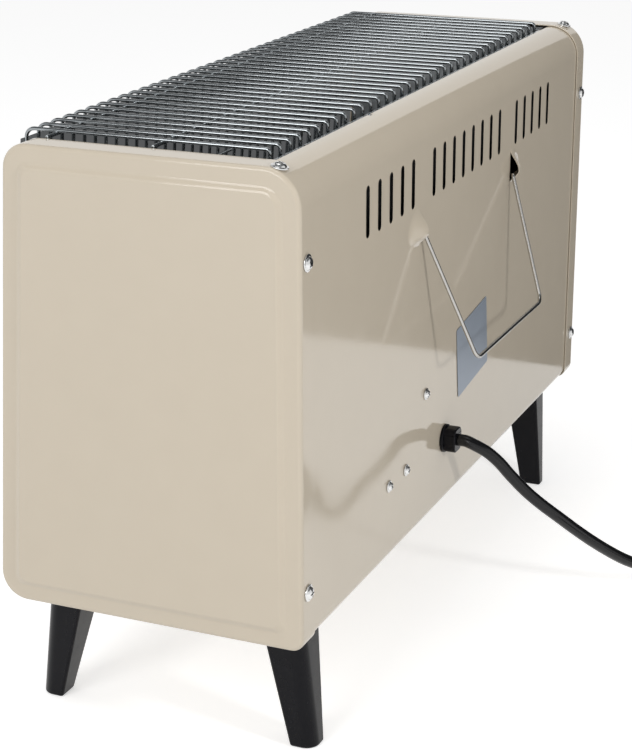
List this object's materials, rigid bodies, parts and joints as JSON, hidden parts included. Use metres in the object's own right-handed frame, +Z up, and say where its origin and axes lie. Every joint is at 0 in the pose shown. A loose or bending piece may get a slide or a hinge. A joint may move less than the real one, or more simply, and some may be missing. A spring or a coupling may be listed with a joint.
{
  "type": "infrared heater",
  "caption": "Free-standing quartz infrared heater: cream enamelled casing on tapered black legs, bright wire grille over its top and front, hinged wire bail and cord at the back.",
  "frame": {"origin": "on the floor, at the middle of the bottom of the bounding box without the cord", "axes": "+X along the body to the end cap named right, +Y to the back with the cord and the bail, +Z up"},
  "size_m": [0.589, 0.4941, 0.3936],
  "materials": {
    "enamel": "glossy cream stoved enamel",
    "zinc_wire": "bright zinc-plated wire",
    "zinc_screw": "bright plated steel",
    "polished": "polished sheet",
    "galvanised": "plain galvanised sheet",
    "quartz": "milky quartz",
    "element": "oxidised resistance wire",
    "ceramic": "off-white unglazed ceramic",
    "black_plastic": "black satin moulding",
    "black_gloss": "black glossy moulding",
    "white_plastic": "white moulding",
    "black_cord": "black smooth sheath",
    "black_fabric": "black woven strap",
    "foil": "blue-grey blank foil",
    "nickel": "nickel-plated brass"
  },
  "bodies": {
    "casing": {"back_screw_1": "zinc_screw", "back_screw_2": "zinc_screw", "back_screw_3": "zinc_screw", "cap_screw_left_corner": "zinc_screw", "cap_screw_left_lower": "zinc_screw", "cap_screw_left_upper": "zinc_screw", "cap_screw_right_corner": "zinc_screw", "cap_screw_right_lower": "zinc_screw", "cap_screw_right_upper": "zinc_screw", "ceramic_holder_1_left": "ceramic", "ceramic_holder_1_right": "ceramic", "ceramic_holder_2_left": "ceramic", "ceramic_holder_2_right": "ceramic", "ceramic_holder_3_left": "ceramic", "ceramic_holder_3_right": "ceramic", "cord_coil": "black_cord", "cord_free": "black_cord", "cord_gland": "black_plastic", "cord_tail": "black_cord", "cord_tie": "black_fabric", "data_plate": "foil", "end_cap_left": "enamel", "end_cap_right": "enamel", "grille": "zinc_wire", "heat_shield": "galvanised", "heating_element_1": "element", "heating_element_2": "element", "heating_element_3": "element", "leg_back_left": "black_plastic", "leg_back_right": "black_plastic", "leg_front_left": "black_plastic", "leg_front_right": "black_plastic", "leg_screw_back_left": "zinc_screw", "leg_screw_back_right": "zinc_screw", "leg_screw_front_left": "zinc_screw", "leg_screw_front_right": "zinc_screw", "plug_body": "black_plastic", "plug_pin_1": "nickel", "plug_pin_2": "nickel", "quartz_tube_1": "quartz", "quartz_tube_2": "quartz", "quartz_tube_3": "quartz", "rear_shell": "enamel", "reflector": "polished", "side_plate_left": "galvanised", "side_plate_right": "galvanised", "switch_housing_1": "black_plastic", "switch_housing_2": "black_plastic", "terminal_block": "white_plastic", "tip_over_switch": "black_plastic"},
    "bail": {"bail": "zinc_wire"},
    "rocker_1": {"rocker_1": "black_gloss"},
    "rocker_2": {"rocker_2": "black_gloss"}
  },
  "joints": [
    {"name": "bail_hinge", "type": "hinge", "parent": "casing", "child": "bail", "pos_m": [-0.0042, 0.09209, 0.3045], "axis": [1, 0, 0], "range_deg": [-17, 155]},
    {"name": "rocker_1_hinge", "type": "hinge", "parent": "casing", "child": "rocker_1", "pos_m": [0.188, -0.11784, 0.12637], "axis": [1, 0, 0], "range_deg": [-16, 0]},
    {"name": "rocker_2_hinge", "type": "hinge", "parent": "casing", "child": "rocker_2", "pos_m": [0.23, -0.11784, 0.12637], "axis": [1, 0, 0], "range_deg": [-16, 0]}
  ]
}
